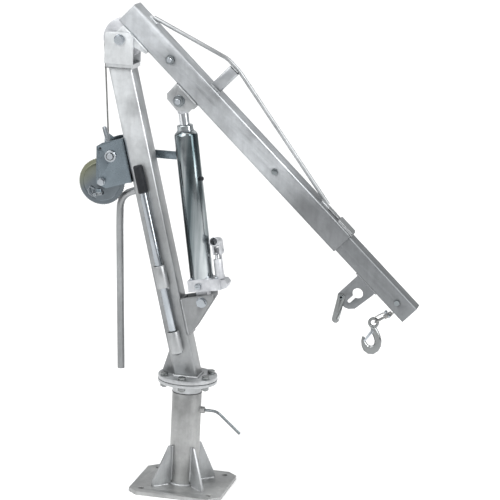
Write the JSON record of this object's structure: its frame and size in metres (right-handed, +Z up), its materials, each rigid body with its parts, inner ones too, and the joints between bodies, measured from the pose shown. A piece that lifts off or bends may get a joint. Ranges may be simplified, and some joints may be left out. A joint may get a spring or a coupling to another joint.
{
  "type": "engine hoist crane",
  "caption": "Swivelling post-mounted hoist crane with a leaning mast, hydraulic jack, trussed telescopic boom, hand winch, wire rope and load hook.",
  "frame": {"origin": "centre of the base plate's underside", "axes": "+Z up the post, +X the way the boom points with the swivel at rest, +Y away from the stowed pump handle"},
  "size_m": [1.0234, 0.302, 1.4454],
  "materials": {
    "galvanised_steel": "hot-dip galvanised, mottled grey",
    "bright_zinc": "bright zinc plate",
    "chrome_rod": "polished hard chrome",
    "cast_metal": "rough casting, silver coloured",
    "plated_sheet": "blue-grey plated sheet with a faint yellow tint",
    "wire_rope": "stranded steel wire",
    "black_rubber": "matt black rubber"
  },
  "bodies": {
    "base": {"base_plate": "galvanised_steel", "post_pipe": "galvanised_steel", "gusset_right_rear": "galvanised_steel", "gusset_left_rear": "galvanised_steel", "gusset_left_front": "galvanised_steel", "gusset_right_front": "galvanised_steel"},
    "lock_screw": {"lock_screw": "galvanised_steel"},
    "swivel": {"spigot": "galvanised_steel", "flange_lower": "galvanised_steel", "flange_upper": "galvanised_steel", "flange_bolt_1": "bright_zinc", "flange_bolt_2": "bright_zinc", "flange_bolt_3": "bright_zinc", "flange_bolt_4": "bright_zinc", "flange_bolt_5": "bright_zinc", "flange_bolt_6": "bright_zinc", "mast_tube": "galvanised_steel", "mast_rib": "galvanised_steel", "jack_bracket_lower": "galvanised_steel", "jack_bolt_lower": "bright_zinc", "handle_guide": "galvanised_steel", "handle_cup": "galvanised_steel", "saddle": "galvanised_steel", "pivot_bolt": "bright_zinc", "swing_handle": "galvanised_steel", "winch_frame": "plated_sheet", "winch_axle": "bright_zinc", "rope_mast": "wire_rope"},
    "pump_handle": {"pump_handle_tube": "bright_zinc", "pump_handle_grip": "black_rubber"},
    "drum": {"winch_drum": "plated_sheet", "rope_coil": "wire_rope"},
    "crank": {"winch_drive": "bright_zinc", "winch_crank": "plated_sheet"},
    "crank_grip": {"crank_grip": "black_rubber"},
    "pawl": {"winch_pawl": "bright_zinc"},
    "boom": {"boom_tube": "galvanised_steel", "boom_ears": "galvanised_steel", "truss_bar": "galvanised_steel", "truss_strut": "galvanised_steel", "jack_bracket_upper": "galvanised_steel", "jack_bolt_upper": "bright_zinc", "guide_bolt": "bright_zinc"},
    "pivot_sheave": {"pivot_sheave": "cast_metal"},
    "clamp_screw": {"clamp_screw": "bright_zinc"},
    "extension": {"extension_tube": "galvanised_steel", "tip_axle": "bright_zinc", "keyhole_plate": "galvanised_steel", "rope_loop": "wire_rope"},
    "tip_sheave": {"tip_sheave": "cast_metal"},
    "keyhole_latch": {"keyhole_latch": "cast_metal"},
    "hook": {"hook": "galvanised_steel"},
    "hook_latch": {"hook_latch": "bright_zinc"},
    "jack": {"jack_cylinder": "bright_zinc", "jack_base": "cast_metal"},
    "release_valve": {"release_valve": "bright_zinc"},
    "pump_plunger": {"pump_plunger": "chrome_rod"},
    "pump_lever": {"pump_lever": "cast_metal"},
    "jack_rod": {"jack_rod": "chrome_rod"},
    "jack_eye": {"jack_eye": "cast_metal"}
  },
  "joints": [
    {"name": "swivel_spin", "type": "hinge", "parent": "base", "child": "swivel", "pos_m": [0, 0, 0.33], "axis": [0, 0, 1], "continuous": true},
    {"name": "lock_turn", "type": "hinge", "parent": "base", "child": "lock_screw", "pos_m": [0.06, 0, 0.2425], "axis": [1, 0, 0], "range_deg": [-180, 180]},
    {"name": "boom_lift", "type": "hinge", "parent": "swivel", "child": "boom", "pos_m": [-0.235, 0, 1.341], "axis": [0, -1, 0], "range_deg": [0, 50]},
    {"name": "jack_tilt", "type": "hinge", "parent": "swivel", "child": "jack", "pos_m": [0.04062, 0, 0.58141], "axis": [0, 1, 0], "range_deg": [0, 6.86]},
    {"name": "rod_slide", "type": "slide", "parent": "jack", "child": "jack_rod", "axis": [-0.1565, 0, 0.9877], "range_m": [0, 0.1934]},
    {"name": "eye_turn", "type": "hinge", "parent": "boom", "child": "jack_eye", "pos_m": [-0.05318, 0, 1.17337], "axis": [0, 1, 0], "range_deg": [0, 57.3]},
    {"name": "extension_slide", "type": "slide", "parent": "boom", "child": "extension", "axis": [0.7314, 0, -0.682], "range_m": [-0.085, 0.24]},
    {"name": "clamp_turn", "type": "hinge", "parent": "boom", "child": "clamp_screw", "pos_m": [0.24033, -0.038, 0.99017], "axis": [0, -1, 0], "range_deg": [-180, 0]},
    {"name": "pivot_sheave_spin", "type": "hinge", "parent": "boom", "child": "pivot_sheave", "pos_m": [-0.235, 0, 1.341], "axis": [0, 1, 0], "continuous": true},
    {"name": "tip_sheave_spin", "type": "hinge", "parent": "extension", "child": "tip_sheave", "pos_m": [0.61983, 0, 0.63629], "axis": [0, 1, 0], "continuous": true},
    {"name": "drum_spin", "type": "hinge", "parent": "swivel", "child": "drum", "pos_m": [-0.2766, 0, 0.918], "axis": [0, 1, 0], "continuous": true},
    {"name": "crank_spin", "type": "hinge", "parent": "swivel", "child": "crank", "pos_m": [-0.2513, 0, 0.996], "axis": [0, 1, 0], "continuous": true},
    {"name": "crank_grip_spin", "type": "hinge", "parent": "crank", "child": "crank_grip", "pos_m": [-0.0613, 0.11, 0.996], "axis": [0, 1, 0], "continuous": true},
    {"name": "pawl_swing", "type": "hinge", "parent": "swivel", "child": "pawl", "pos_m": [-0.262, -0.0275, 1.029], "axis": [0, -1, 0], "range_deg": [0, 25]},
    {"name": "keyhole_latch_swing", "type": "hinge", "parent": "extension", "child": "keyhole_latch", "pos_m": [0.45201, 0, 0.63198], "axis": [0, 1, 0], "range_deg": [-60, 45]},
    {"name": "hook_swing", "type": "hinge", "parent": "extension", "child": "hook", "pos_m": [0.55037, 0, 0.56296], "axis": [0, 1, 0], "range_deg": [-60, 60]},
    {"name": "hook_latch_swing", "type": "hinge", "parent": "hook", "child": "hook_latch", "pos_m": [0.54837, 0, 0.53896], "axis": [0, -1, 0], "range_deg": [0, 40], "stiffness_Nm_per_rad": 0.02, "springref_deg": -17.19},
    {"name": "release_turn", "type": "hinge", "parent": "jack", "child": "release_valve", "pos_m": [0.0276, -0.034, 0.62846], "axis": [0, -1, 0], "range_deg": [-90, 90]},
    {"name": "pump_stroke", "type": "hinge", "parent": "jack", "child": "pump_lever", "pos_m": [0.07454, 0.016, 0.73157], "axis": [0.9877, 0, 0.1565], "range_deg": [-15, 25]},
    {"name": "plunger_stroke", "type": "slide", "parent": "jack", "child": "pump_plunger", "axis": [-0.1565, 0, 0.9877], "range_m": [-0.0125, 0.008]},
    {"name": "handle_lift", "type": "slide", "parent": "swivel", "child": "pump_handle", "axis": [-0.2514, 0, 0.9679], "range_m": [0, 0.27]}
  ],
  "couplings": [
    {"joint": "jack_tilt", "follows": "boom_lift", "ratio": 0.13617},
    {"joint": "rod_slide", "follows": "boom_lift", "m_per_rad": 0.22043},
    {"joint": "eye_turn", "follows": "boom_lift", "ratio": 1.1362},
    {"joint": "crank_spin", "follows": "drum_spin", "ratio": -5.097},
    {"joint": "plunger_stroke", "follows": "pump_stroke", "m_per_rad": -0.026}
  ]
}
